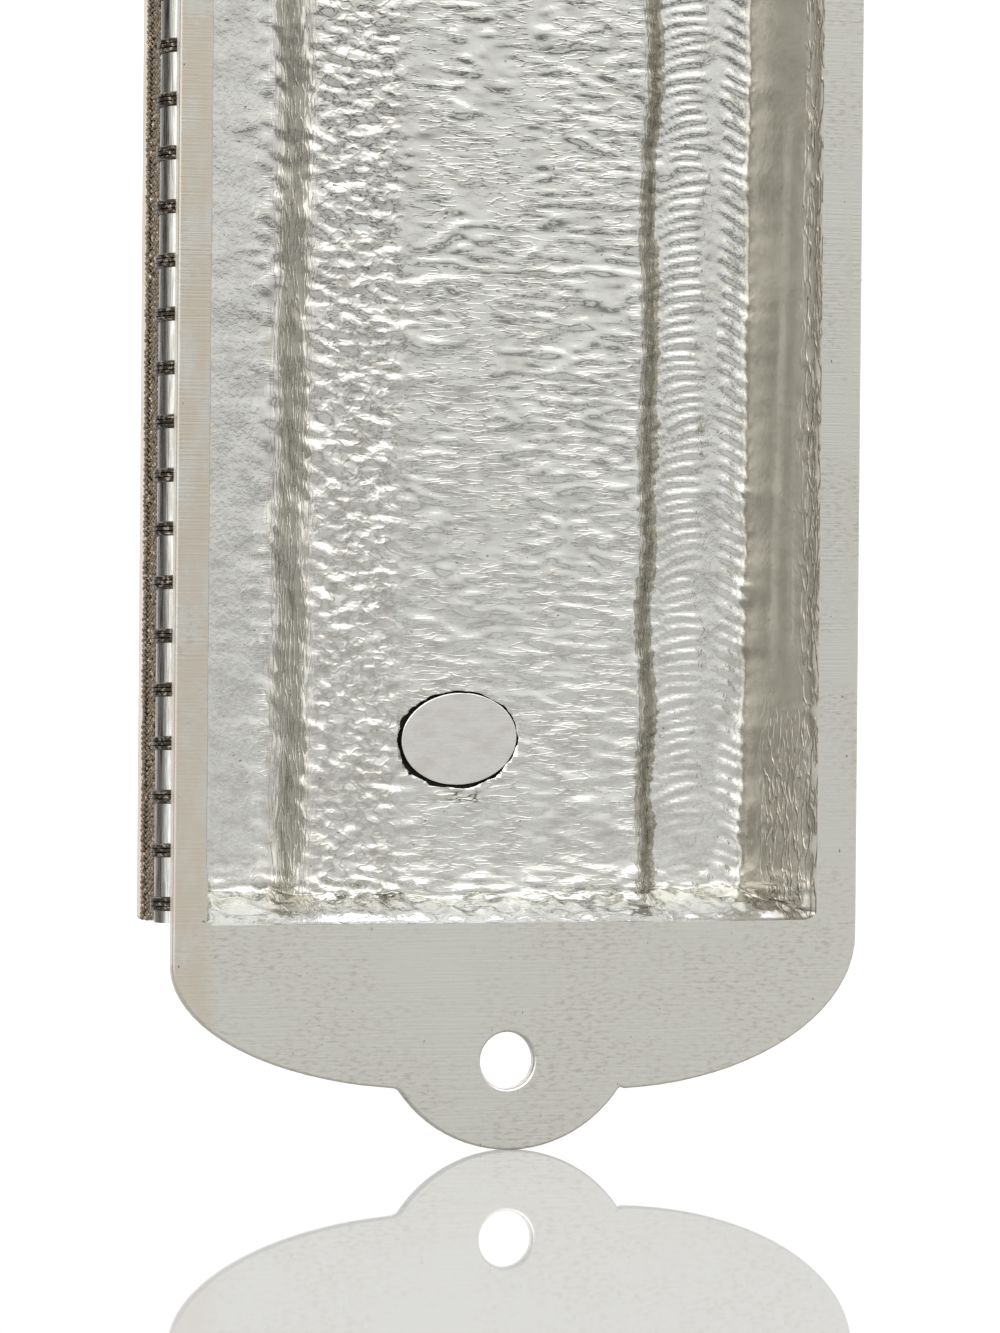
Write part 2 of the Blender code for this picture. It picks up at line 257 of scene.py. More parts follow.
def place_mm(tree, stretch=(1.0, 1.0, 1.0)):
    """Place on the case in millimetres, which can be squeezed along an axis."""
    where = add_node(tree, "ShaderNodeTexCoord", "Object", {})
    size = tuple(1.0 / (MM * part) for part in stretch)
    return add_node(tree, "ShaderNodeVectorMath", "Vector", {0: where, 1: size}, operation="MULTIPLY")


def mottle(tree, stretch, low, high, detail=4.0):
    """Clouds of a real size in millimetres, cut to a soft-edged mask from 0 to 1."""
    look = {"Vector": place_mm(tree, stretch), "Scale": 1.0, "Detail": detail, "Roughness": 0.6}
    cloud = add_node(tree, "ShaderNodeTexNoise", "Fac", look)
    span = {"Value": cloud, "From Min": low, "From Max": high}
    return add_node(tree, "ShaderNodeMapRange", "Result", span, interpolation_type="SMOOTHSTEP")


def creases(tree, stretch, width=0.07):
    """Thin lines between clouds: fine creases of a real size in millimetres."""
    look = {"Vector": place_mm(tree, stretch), "Scale": 1.0, "Detail": 1.5, "Roughness": 0.55}
    cloud = add_node(tree, "ShaderNodeTexNoise", "Fac", look)
    off = add_node(tree, "ShaderNodeMath", "Value", {0: cloud, 1: 0.5}, operation="SUBTRACT")
    size = add_node(tree, "ShaderNodeMath", "Value", {0: off}, operation="ABSOLUTE")
    span = {"Value": size, "From Min": 0.0, "From Max": width, "To Min": 1.0, "To Max": 0.0}
    return add_node(tree, "ShaderNodeMapRange", "Result", span)


def zone(tree, axis, low, high, soft):
    """A mask between two places along an axis of the case, in millimetres, with soft ends."""
    place = add_node(tree, "ShaderNodeSeparateXYZ", axis, {"Vector": place_mm(tree)})
    rising = {"Value": place, "From Min": low - soft, "From Max": low + soft}
    falling = {"Value": place, "From Min": high - soft, "From Max": high + soft}
    start = add_node(tree, "ShaderNodeMapRange", "Result", rising)
    end = add_node(tree, "ShaderNodeMapRange", "Result", {**falling, "To Min": 1.0, "To Max": 0.0})
    return add_node(tree, "ShaderNodeMath", "Value", {0: start, 1: end}, operation="MULTIPLY")


def lay_tints(tree, tone, tints):
    """Lay tints over a tone, one after another: each is (mask, strength, colour)."""
    for mask, strength, colour in tints:
        part = add_node(tree, "ShaderNodeMath", "Value", {0: mask, 1: strength}, operation="MULTIPLY")
        tone = add_node(tree, "ShaderNodeMix", 2, {0: part, 6: tone, 7: linear(colour)}, data_type="RGBA")
    return tone


def surface(tree, shader, tone, height, crest):
    """Give a shader its colour and its fine relief. Crests stand up by so many millimetres."""
    tree.links.new(tone, shader.inputs["Base Color"])
    relief = {"Height": height, "Distance": crest * MM, "Strength": 1.0}
    tree.links.new(add_node(tree, "ShaderNodeBump", "Normal", relief), shader.inputs["Normal"])


# %% Plate as cast, in the hollow
# Bright but never smooth: fine creases catch the light as sparks, and painted shade darkens them
# to a brownish grey. The steep left wall is rougher and painted darker as shade, its brim darkest.
cast_skin, tree, shader = new_material("nickel_plate_on_raw_casting", 1.0, 0.13)
steep_wall = zone(tree, "X", -16.4, -14.2, 0.3)
dulled = add_node(tree, "ShaderNodeMix", 0, {0: steep_wall, 2: 0.13, 3: 0.26})
tree.links.new(dulled, shader.inputs["Roughness"])
lines = creases(tree, (1.5, 1.0, 0.3))
lively = mottle(tree, (2.2, 1.0, 3.0), 0.36, 0.6)
drawn = add_node(tree, "ShaderNodeMath", "Value", {0: lines, 1: lively}, operation="MULTIPLY")
crumpled = creases(tree, (0.85, 1.0, 0.6), width=0.11)
upright = creases(tree, (0.2, 1.0, 1.8))
plain = mottle(tree, (0.25, 0.25, 0.25), 0.35, 0.7, detail=2.0)
low_wall = {0: zone(tree, "X", -17.2, -15.0, 0.2), 1: zone(tree, "Z", -52.0, -40.0, 2.5)}
scored = add_node(tree, "ShaderNodeMath", "Value", low_wall, operation="MULTIPLY")
RELIEF_ZONES = (
    (zone(tree, "X", 5.4, 10.6, 0.8), crumpled, 1.3),
    (zone(tree, "X", 10.4, 12.4, 0.3), upright, 1.0),
    (zone(tree, "X", -9.2, -7.9, 0.2), upright, 1.0),
    (zone(tree, "X", -14.6, -9.0, 0.2), plain, 0.4),
    (zone(tree, "X", -18.0, -14.6, 0.2), plain, 0.3),
    (zone(tree, "X", 12.8, 18.0, 0.4), plain, 0.5),
    (scored, upright, 3.2),
    (zone(tree, "X", -17.2, -16.1, 0.15), upright, 2.4),
)
relief = drawn
for where, pattern, strength in RELIEF_ZONES:
    part = add_node(tree, "ShaderNodeMath", "Value", {0: pattern, 1: strength}, operation="MULTIPLY")
    relief = add_node(tree, "ShaderNodeMix", 0, {0: where, 2: relief, 3: part})
ends = add_node(tree, "ShaderNodeMix", 0, {0: zone(tree, "Z", -49.2, 49.2, 0.3), 2: 0.7, 3: 0.0})
below_plaque = {0: zone(tree, "X", 0.9, 2.7, 0.3), 1: zone(tree, "Z", -43.9, -43.3, 0.15)}
strip = add_node(tree, "ShaderNodeMath", "Value", below_plaque, operation="MULTIPLY")
marks = {0: strip, 1: creases(tree, (0.9, 1.0, 0.25))}
scars = add_node(tree, "ShaderNodeMath", "Value", marks, operation="MULTIPLY")
CAST_TINTS = (
    (mottle(tree, (1.4, 1.0, 0.7), 0.45, 0.7), 1.0, "#C6C5BD"),
    # Painted shade: the creases of the relief are darkened to a brownish grey.
    (relief, 0.34, "#948D7F"),
    # Painted shade: the ramp beside the broad channel is painted darker.
    (zone(tree, "X", 10.4, 12.4, 0.4), 0.6, "#BDB9AE"),
    # Painted shade: the end walls, bright under the light from above, are painted a darker, cooler grey.
    (ends, 1.0, "#C3C5CB"),
    # Painted shade: the steep left wall is painted darker, and its brim darker still.
    (steep_wall, 0.7, "#A39D90"),
    (zone(tree, "X", -17.0, -16.3, 0.1), 0.7, "#857F72"),
    (mottle(tree, (0.35, 0.3, 0.25), 0.69, 0.78, detail=2.0), 1.0, "#857E70"),
    (scars, 1.0, "#2A261F"),
)
surface(tree, shader, lay_tints(tree, linear(PLATE), CAST_TINTS), relief, 0.018)
print("cast skin:", len(RELIEF_ZONES), "zones of relief,", len(CAST_TINTS), "tints")

# %% Plate on ground metal, on the flange
# An even pale grey with short dull marks across it, where the belt tore the metal. It is warmer
# along the right edge, where fingers hold it.
ground_plate, tree, shader = new_material("nickel_plate_on_ground_flange", 1.0, 0.3)
marks = {0: mottle(tree, (0.5, 0.4, 0.17), 0.46, 0.66, detail=6.0)}
marks[1] = mottle(tree, (8.0, 8.0, 5.0), 0.34, 0.6, detail=2.0)
torn = add_node(tree, "ShaderNodeMath", "Value", marks, operation="MULTIPLY")
held = {0: zone(tree, "X", 17.0, 30.0, 0.6), 1: mottle(tree, (2.0, 2.0, 4.0), 0.3, 0.6)}
warm = add_node(tree, "ShaderNodeMath", "Value", held, operation="MULTIPLY")
pits = mottle(tree, (0.35, 0.35, 0.5), 0.7, 0.76, detail=2.0)
tints = ((torn, 1.0, "#BDB8AC"), (warm, 1.0, "#CAC1B2"), (pits, 1.0, "#7A7062"))
tone = lay_tints(tree, linear("#CFCEC6"), tints)
surface(tree, shader, tone, mottle(tree, (6.0, 0.2, 0.12), 0.3, 0.7), 0.004)

# %% Satin plate, on the plaque and the ornament
# A soft sheen without a mirror image, because a fine brush broke up the surface.
satin_plate, tree, shader = new_material("satin_nickel_plate", 1.0, 0.22)
haze = mottle(tree, (1.5, 1.5, 0.8), 0.4, 0.7)
tone = lay_tints(tree, linear("#DDDBD5"), ((haze, 1.0, "#D1CEC6"),))
surface(tree, shader, tone, mottle(tree, (0.9, 0.2, 0.08), 0.3, 0.7), 0.002)

# %% Buffed plate, on the rods
# Almost a mirror, with fine drag lines along the rod. The side turned to the front is painted
# dark brown: painted shade, and a painted reflection of the dark granules beside it.
buffed_plate, tree, shader = new_material("buffed_nickel_plate", 1.0, 0.12)
drag = mottle(tree, (0.12, 0.12, 2.2), 0.35, 0.7)
# Painted shade and reflection: the side turned to the front is darkened to brown.
front_side = zone(tree, "Y", -9.0, -1.65, 0.2)
shaded = add_node(tree, "ShaderNodeMix", 0, {0: 0.25, 2: front_side, 3: drag})
tone = lay_tints(tree, linear("#E2E1DD"), ((drag, 1.0, "#C9C6BE"), (shaded, 1.0, "#4A443A")))
surface(tree, shader, tone, drag, 0.008)

# %% Blackened wire, on the rods' bindings
# Nearly black, with pale metal where it has been rubbed.
black_wire, tree, shader = new_material("oxidised_silver_wire", 1.0, 0.35)
rub = mottle(tree, (0.25, 0.25, 0.2), 0.5, 0.65)
tone = lay_tints(tree, linear("#3E3830"), ((rub, 1.0, "#A39B8C"),))
surface(tree, shader, tone, rub, 0.01)

# %% Patina on the granules
# A brown film over the metal. The tops of some granules are worn back to a pale gleam.
granule_patina, tree, shader = new_material("brown_black_patina_on_granules", 1.0, 0.45)
worn = mottle(tree, (0.3, 0.3, 0.3), 0.52, 0.68)
tone = lay_tints(tree, linear("#7F7263"), ((worn, 1.0, "#C6B9A4"),))
surface(tree, shader, tone, mottle(tree, (0.08, 0.08, 0.08), 0.3, 0.7), 0.01)

# %% Warm satin plate, on the front frame
# Paler and warmer than the casting, brushed along its length, with a few small spots.
warm_plate, tree, shader = new_material("warm_satin_plate", 1.0, 0.34)
stain = mottle(tree, (3.0, 3.0, 5.0), 0.35, 0.75, detail=2.0)
spots = mottle(tree, (0.4, 0.4, 0.4), 0.68, 0.76, detail=2.0)
tone = lay_tints(tree, linear("#DBD1C2"), ((stain, 1.0, "#CDC0AD"), (spots, 1.0, "#A39681")))
surface(tree, shader, tone, mottle(tree, (0.1, 0.1, 3.0), 0.3, 0.7), 0.003)

# %% Rubbed patina, on the hammered panel
# Each hammer mark keeps a grey film, and the ridges between the marks are rubbed pale.
panel_patina, tree, shader = new_material("rubbed_patina_on_hammered_sheet", 1.0, 0.3)
panel_face = node_box("front_panel")[0].y / MM
ridges = zone(tree, "Y", panel_face - 1.0, panel_face + 0.05, 0.05)
smut = mottle(tree, (0.4, 0.4, 0.4), 0.35, 0.7)
tone = lay_tints(tree, linear("#857D70"), ((smut, 1.0, "#968E80"), (ridges, 1.0, "#B4ADA0")))
surface(tree, shader, tone, smut, 0.004)

# %% Black in the plaque's gap
# A matt black sulphide crust that swallows the light, so the gap reads as a drawn line.
black_gap, tree, shader = new_material("sulphide_black_in_gap", 0.0, 0.6)
soot = mottle(tree, (0.3, 0.3, 0.3), 0.4, 0.7)
tone = lay_tints(tree, linear("#14110D"), ((soot, 1.0, "#3A342B"),))
tree.links.new(tone, shader.inputs["Base Color"])

# %% Finishes on the frame's own pieces
FINISHES = {
    "case_body": ground_plate,
    "maker_plaque": satin_plate,
    "bound_rod_right": buffed_plate,
    "bound_rod_left": buffed_plate,
    "front_frame": warm_plate,
    "front_panel": panel_patina,
    "front_ornament": satin_plate,
}
for name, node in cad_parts.items():
    node.data.materials.clear()
    node.data.materials.append(FINISHES.get(name, granule_patina))


# %% [markdown]
# ## The casting
# The hollow is a dent of the mould's core: a lump with a crumpled skin, pressed into the block.
# It is made the same way here. The frame's casting is copied and its hollow filled in, then a
# core with a finely crumpled skin is cut out of it with a Boolean. Displacing the hollow itself
# would be shorter, but its walls are steep, and a core keeps the wavy line where the skin meets
# the ground flange, as on the real casting.

# %% The block: the frame's casting with its hollow filled in
HOLLOW_SIDE = 17.4 * MM
HOLLOW_END = 50.6 * MM
HOLLOW_FLOOR = 5.61 * MM
OUTER_RECESS = 5.25 * MM
END_LEAN = 0.2
JUST = 0.01 * MM
WELD = 0.001 * MM
block = bmesh.new()
block.from_mesh(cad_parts["case_body"].data)
bmesh.ops.remove_doubles(block, verts=block.verts, dist=WELD)
casting_surface = BVHTree.FromBMesh(block)


def in_hollow(face):
    """True for a face of the hollow, its end walls, or the plaque's pocket."""
    middle = face.calc_center_median()
    inside = abs(middle.x) < HOLLOW_SIDE and abs(middle.z) - END_LEAN * middle.y < HOLLOW_END
    inside = inside and -HOLLOW_FLOOR < middle.y < -JUST
    faces_front = face.normal.y < -0.5
    recess_wall = middle.y < -OUTER_RECESS and abs(face.normal.y) < 0.1
    return inside and not faces_front and not recess_wall


bmesh.ops.delete(block, geom=[face for face in block.faces if in_hollow(face)], context="FACES")
bmesh.ops.holes_fill(block, edges=[edge for edge in block.edges if edge.is_boundary])
print("block is closed:", all(edge.is_manifold for edge in block.edges))

# %% Round the block's edges
FLAT = math.radians(2.0)
CORNER = math.radians(50.0)
EDGE_ROUND = 0.12 * MM
bmesh.ops.dissolve_limit(block, angle_limit=FLAT, verts=block.verts, edges=block.edges)
corners = [edge for edge in block.edges if edge.calc_face_angle(0.0) > CORNER]
bmesh.ops.bevel(
    block,
    geom=corners,
    offset=EDGE_ROUND,
    segments=2,
    affect="EDGES",
    profile=0.5,
    material=-1,
    clamp_overlap=True,
)
bmesh.ops.triangulate(block, faces=block.faces)
print("rounded block:", len(block.faces), "faces, closed:", all(edge.is_manifold for edge in block.edges))


# %% Read the hollow's shape from the frame
def cast_depth(x, z):
    """How deep the hollow is at one place, found by a ray from behind."""
    hit = casting_surface.ray_cast(Vector((x, MM, z)), Vector((0.0, -1.0, 0.0)))[0]
    return max(0.0, -hit.y) if hit else 0.0


PROBE = 0.02 * MM
PROBE_SIDE = 17.9 * MM
PROBE_END = 50.7 * MM
BROAD_CHANNEL = 13.6 * MM
FILLET_START = 14.6 * MM
WALL_FOOT = 15.5 * MM
STEEP_FOOT = 16.2 * MM
WALL_TOP = 17.2 * MM
END_FOOT_DEPTH = 5.55 * MM
CALM_FROM = 12.9 * MM
CALM_STEP = 0.5 * MM
FINE_STEP = 0.3 * MM
ROW_STEP = 0.145 * MM


def probe_line(half, depth_of):
    """Depths along a line, at even small steps: a list of (place, depth)."""
    count = int(2 * half / PROBE)
    return [(-half + PROBE * step, depth_of(-half + PROBE * step)) for step in range(count + 1)]


def spread_out(line, step_at):
    """Places along a line that are evenly spaced over its slopes as well as its flats."""
    places = [line[0][0]]
    walked = 0.0
    for (before, depth_before), (after, depth_after) in zip(line, line[1:]):
        walked += math.hypot(after - before, depth_after - depth_before)
        if walked >= step_at(after):
            places.append(after)
            walked = 0.0
    return places


def look_up(line, place):
    """Depth on a probed line, between its two nearest steps."""
    part = (place - line[0][0]) / PROBE
    index = min(len(line) - 2, max(0, int(part)))
    mix = min(1.0, max(0.0, part - index))
    return line[index][1] * (1.0 - mix) + line[index + 1][1] * mix


def soft_min(first, second, blend):
    """The smaller of two depths, with a rounded change from one to the other."""
    near = max(blend - abs(first - second), 0.0) / blend
    return min(first, second) - 0.25 * blend * near * near


def steepen(x):
    """Where to read the profile so that the right wall stands steeper: its foot moves outwards."""
    if x < FILLET_START or x > WALL_TOP:
        return x
    if x < STEEP_FOOT:
        return FILLET_START + (x - FILLET_START) * (WALL_FOOT - FILLET_START) / (STEEP_FOOT - FILLET_START)
    return WALL_FOOT + (x - STEEP_FOOT) * (WALL_TOP - WALL_FOOT) / (WALL_TOP - STEEP_FOOT)


across = probe_line(PROBE_SIDE, lambda x: cast_depth(x, 0.0))
along = probe_line(PROBE_END, lambda z: cast_depth(BROAD_CHANNEL, z))
end_edge = -next(place for place, depth in along if depth > JUST)
end_foot = -next(place for place, depth in along if depth > END_FOOT_DEPTH)
end_slope = END_FOOT_DEPTH / (end_edge - end_foot)
columns = spread_out(across, lambda x: CALM_STEP if x > CALM_FROM else FINE_STEP)
rows = spread_out(along, lambda z: ROW_STEP)
print("core skin: %d columns, %d rows" % (len(columns), len(rows)))

# %% [markdown]
# The skin is not one texture. Where the metal filled the mould last it crumpled like foil, in
# the middle it drew into fine flakes that run across, beside the narrow channel into long
# wrinkles, and the broad channel is combed in short arcs. Each zone is a function of the place
# on the casting, in millimetres, and gives the height of the skin in millimetres.

# %% Zones of the crumpled skin
def crest(x, z, width, seed):
    """Thin creases on a flat ground: 1 along a crease, 0 between creases. One unit apart."""
    return max(0.0, 1.0 - abs(noise.noise(Vector((x, z, seed)))) / width) ** 1.2


def scales(x, z, size, seed):
    """Domed scales with creases between them: 0 in a crease, 1 on top of a scale."""
    near, next_near = noise.voronoi(Vector((x / size, z / (0.8 * size), seed)))[0][:2]
    return min(1.0, 2.4 * (next_near - near)) ** 0.7


def foil(x, z):
    """Crumpled like foil: scales about a millimetre across, some drawn out downwards."""
    bend_x = 0.7 * noise.noise(Vector((0.9 * x, 0.9 * z, 4.0)))
    bend_z = 0.7 * noise.noise(Vector((0.9 * x, 0.9 * z, 14.0)))
    large = scales(x + bend_x, z + bend_z, 1.2, 1.0)
    small = scales(x - bend_z, z + bend_x, 0.62, 2.0)
    slant = crest(0.45 * x + 0.4 * z, 1.0 * z - 0.4 * x + bend_x, 0.35, 6.0)
    return 0.17 * large + 0.2 * small + 0.08 * slant


def strokes(x, z, length, pitch, seed, width=0.3):
    """Short raised strokes that lie across the casting, broken up along their length."""
    bend = 0.5 * noise.noise(Vector((0.5 * x, 0.9 * z, seed + 5.0)))
    line = crest(x / length + bend, z / pitch + 0.5 * bend, width, seed)
    broken = smooth_step(-0.3, 0.1, noise.noise(Vector((0.9 * x, 1.6 * z, seed + 9.0))))
    return line * broken


def comb(x, z, pitch, offset, seed):
    """The marks of a comb: even ripples that follow a bent line."""
    wander = 0.35 * noise.noise(Vector((0.3 * x, 0.6 * z, seed)))
    turn = (z - offset + wander) / pitch
    strength = 0.8 + 0.6 * noise.noise(Vector((0.6 * x, 1.7 * math.floor(turn), seed + 3.0)))
    return strength * (0.5 + 0.5 * math.cos(math.tau * turn))


def broad_channel(x, z, edge):
    """The calm right channel and the long wrinkles of the ramp beside it."""
    height = band(x, 12.6, 17.0, 0.4) * 0.015 * strokes(x, z, 0.9, 0.7, 31.0)
    height += band(x + edge, 11.9, 13.1, 0.3) * 0.12 * crest(1.3 * x, 0.8 * z, 0.35, 33.0)
    height += band(x + edge, 11.9, 13.1, 0.25) * 0.1 * comb(x, z, 1.3, 1.2 * (x - 12.5), 57.0)
    height += band(x, 10.0, 12.2, 0.3) * 0.12 * crest(1.9 * x + edge, 0.2 * z, 0.35, 35.0)
    return height + band(x + edge, 9.2, 10.7, 0.3) * 0.16 * comb(x, z, 1.2, -0.8 * (10.6 - x), 38.0)


def middle_field(x, z, edge, calm):
    """The raised field: foil on its right, fine flakes that run across the rest."""
    height = band(x + edge, 5.6, 10.4, 0.7) * foil(x, z)
    height += band(x + edge, 0.6, 6.4, 1.0) * (1.0 - 0.7 * calm) * 0.13 * strokes(x, z, 2.6, 0.85, 21.0)
    height += band(x, -2.6, 1.4, 1.2) * (1.0 - calm) * 0.08 * strokes(x, z, 1.8, 0.6, 24.0)
    height += band(x, -8.0, -1.6, 0.8) * 0.12 * strokes(x, z, 2.8, 0.7, 27.0)
    return height + band(x, -8.0, -2.4, 1.4) * (1.0 - calm) * 0.06 * strokes(x, z, 1.2, 0.5, 29.0)


def narrow_channel(x, z, edge, calm):
    """The left ramp, the combed arcs of the channel, and the teeth along its far side."""
    height = band(x, -9.2, -7.8, 0.2) * 0.08 * crest(2.4 * x, 0.5 * z, 0.3, 37.0)
    height += band(x + edge, -9.7, -7.4, 0.3) * 0.11 * strokes(x, z, 1.8, 0.6, 53.0)
    arch = 0.95 * (1.0 - math.exp(min(0.0, x + 9.3) / 0.9))
    worn_end = 0.3 + 0.7 * smooth_step(-46.5, -43.0, z + 1.2 * (x + 10.5))
    height += band(x + edge, -11.8, -9.2, 0.35) * worn_end * 0.17 * comb(x, z, 0.62, arch, 41.0)
    height += band(x + edge, -12.6, -11.2, 0.4) * (1.0 - calm) * 0.07 * strokes(x, z, 1.0, 0.6, 43.0)
    teeth = comb(x, z, 0.85, 0.7 * (x + 13.2), 47.0)
    return height + band(x + 0.5 * edge, -14.3, -13.2, 0.2) * 0.22 * teeth


def left_wall(x, z):
    """The steep wall: smooth above, scored low down, with one long drop of metal on it."""
    streak = crest(2.6 * x, 0.5 * z, 0.35, 51.0)
    low_end = 1.0 - smooth_step(-44.0, -38.0, z + 3.0 * (x + 15.5))
    height = band(x, -16.4, -14.4, 0.1) * (0.012 + 0.1 * low_end) * streak
    height += band(x, -16.7, -16.1, 0.15) * 0.08 * streak
    drop = smooth_step(-38.5, -35.5, z - 2.0 * (x + 15.8)) * (1.0 - smooth_step(-9.0, -6.0, z))
    return height + band(x + 0.012 * (z + 22.0), -16.05, -15.5, 0.12) * 0.14 * drop


def end_skin(x, z, edge):
    """Broad folds at both ends, where the metal ran up the end walls."""
    swirl = 0.8 * noise.noise(Vector((0.5 * x, 0.5 * z, 63.0)))
    folds = 0.27 * scales(x + swirl, 1.6 * z - swirl, 1.4, 61.0) + 0.1 * crest(1.5 * x, 2.0 * z, 0.4, 65.0)
    return smooth_step(46.8, 48.7, abs(z) + edge) * folds


def skin_height(x, z):
    """Height of the cast skin over the plain hollow. x and z in millimetres."""
    calm = smooth_step(-0.05, 0.25, noise.noise(Vector((0.3 * x, 0.16 * z, 12.0))))
    edge = 0.6 * noise.noise(Vector((0.3 * x, 0.45 * z, 15.0)))
    height = band(x, -13.8, 17.0, 0.6) * 0.06 * noise.noise(Vector((0.5 * x, 0.5 * z, 2.0)))
    height += broad_channel(x, z, edge) + middle_field(x, z, edge, calm)
    height += narrow_channel(x, z, edge, calm) + left_wall(x, z)
    return height + end_skin(x, z, edge)


# %% The core: a sheet shaped like the hollow
EDGE_LIFT = 0.4 * MM
SHALLOWEST = -0.3 * MM
END_WANDER = 0.05 * MM
CORNER_BLEND = 2.6
BLEND_WANDER = 0.9
WANDER_WIDTH = 9.0 * MM
SIDE_WANDER = 0.3
core = bmesh.new()
bmesh.ops.create_grid(core, x_segments=len(columns) - 1, y_segments=len(rows) - 1, size=1.0)
for vert in core.verts:
    column = round((vert.co.x + 1.0) / 2.0 * (len(columns) - 1))
    row = round((vert.co.y + 1.0) / 2.0 * (len(rows) - 1))
    x, z = columns[column], rows[row]
    wander = noise.noise(Vector((x / WANDER_WIDTH, 0.3 * z / MM, 0.5)))
    wander += 0.4 * noise.noise(Vector((x / WANDER_WIDTH, 1.1 * z / MM, 7.5)))
    shift = SIDE_WANDER * band(x / MM, -15.0, 14.5, 0.8) * wander
    wall = end_slope * (end_edge + END_WANDER * wander - abs(z))
    blend = (CORNER_BLEND + BLEND_WANDER * wander) * MM
    depth = max(SHALLOWEST, soft_min(look_up(across, steepen(x) + shift * MM), wall, blend))
    on_border = x <= columns[0] or x >= columns[-1] or z <= rows[0] or z >= rows[-1]
    vert.co = (x, EDGE_LIFT if on_border else -depth, z)
core.normal_update()

# %% The core's skin is crumpled, then the sheet is closed to a lump
BELOW_BACK = 0.02 * MM
CORE_TOP = 1.5 * MM
lifted = [(vert, vert.normal.copy()) for vert in core.verts]
facing = 1.0 if sum(normal.y for _, normal in lifted) > 0 else -1.0
for vert, normal in lifted:
    if vert.co.y < -BELOW_BACK:
        height = skin_height(vert.co.x / MM, vert.co.z / MM)
        height *= smooth_step(0.1, 0.6, -vert.co.y / MM)
        vert.co += facing * height * MM * normal
border = [edge for edge in core.edges if edge.is_boundary]
grown = bmesh.ops.extrude_edge_only(core, edges=border)
for part in grown["geom"]:
    if isinstance(part, bmesh.types.BMVert):
        part.co.y = CORE_TOP
bmesh.ops.holes_fill(core, edges=[edge for edge in core.edges if edge.is_boundary])
bmesh.ops.recalc_face_normals(core, faces=core.faces)
print("core:", len(core.faces), "faces, closed:", all(edge.is_manifold for edge in core.edges))


# %% Cut the core out of the block
def as_object(name, shape):
    """A bmesh as a new object in the scene."""
    mesh = bpy.data.meshes.new(name)
    shape.to_mesh(mesh)
    shape.free()
    item = bpy.data.objects.new(name, mesh)
    bpy.context.scene.collection.objects.link(item)
    return item


def cut(block_object, cutter):
    """Cut one object out of another, keep the result in the first and remove the second."""
    boolean = block_object.modifiers.new("cut", "BOOLEAN")
    boolean.operation = "DIFFERENCE"
    boolean.solver = "EXACT"
    boolean.object = cutter
    bpy.context.view_layer.update()
    graph = bpy.context.evaluated_depsgraph_get()
    result = bpy.data.meshes.new_from_object(block_object.evaluated_get(graph))
    block_object.modifiers.clear()
    block_object.data = result
    bpy.data.objects.remove(cutter)


block_object = as_object("block", block)
cut(block_object, as_object("core", core))
print("casting:", len(block_object.data.polygons), "faces")

# %% [markdown]
# ## The plaque and its pocket
# An oval plaque was pressed into a pocket in the hollow's floor. The pocket's edge is ragged and
# black: metal was pushed aside on one side, and the gap holds sulphide that no cloth can reach.
# The pocket is an oval cut with an uneven edge. The plaque is a thin oval with a soft edge, and
# its face is left blank.

# %% The pocket
plaque_middle = 0.5 * (plaque_low + plaque_high)
plaque_size = plaque_high - plaque_low
PLAQUE_TILT = math.radians(-4.0)
POCKET_DEPTH = 4.85 * MM
PLAQUE_EDGE = 0.08 * MM
POCKET_ROOM = 0.3 * MM
POCKET_PUSH = (0.1 * MM, -0.04 * MM)
OVAL_STEPS = 96


def oval(length, height, back, front, wobble=0.0, steps=OVAL_STEPS):
    """A closed oval disc in the casting's plane, with an uneven edge if asked."""
    shape = bmesh.new()
    bmesh.ops.create_cone(
        shape, cap_ends=True, segments=steps, radius1=0.5, radius2=0.5, depth=abs(front - back)
    )
    for vert in shape.verts:
        angle = math.atan2(vert.co.y, vert.co.x)
        rough = noise.noise(Vector((3.0 * math.cos(angle), 3.0 * math.sin(angle), 8.0)))
        rough += 0.6 * noise.noise(Vector((9.0 * math.cos(angle), 9.0 * math.sin(angle), 3.0)))
        vert.co.xy *= 1.0 + wobble * rough
    bmesh.ops.scale(shape, verts=shape.verts, vec=(length, height, 1.0))
    bmesh.ops.rotate(shape, verts=shape.verts, matrix=Matrix.Rotation(PLAQUE_TILT, 3, "Z"))
    bmesh.ops.rotate(shape, verts=shape.verts, matrix=Matrix.Rotation(math.radians(90.0), 3, "X"))
    bmesh.ops.translate(shape, verts=shape.verts, vec=(0.0, 0.5 * (back + front), 0.0))
    return shape


pocket = oval(plaque_size.x + POCKET_ROOM, plaque_size.z + POCKET_ROOM, MM, -POCKET_DEPTH, wobble=0.05)
pocket_place = (plaque_middle.x + POCKET_PUSH[0], 0.0, plaque_middle.z + POCKET_PUSH[1])
bmesh.ops.translate(pocket, verts=pocket.verts, vec=pocket_place)
cut(block_object, as_object("pocket", pocket))
print("pocket cut, casting has", len(block_object.data.polygons), "faces")

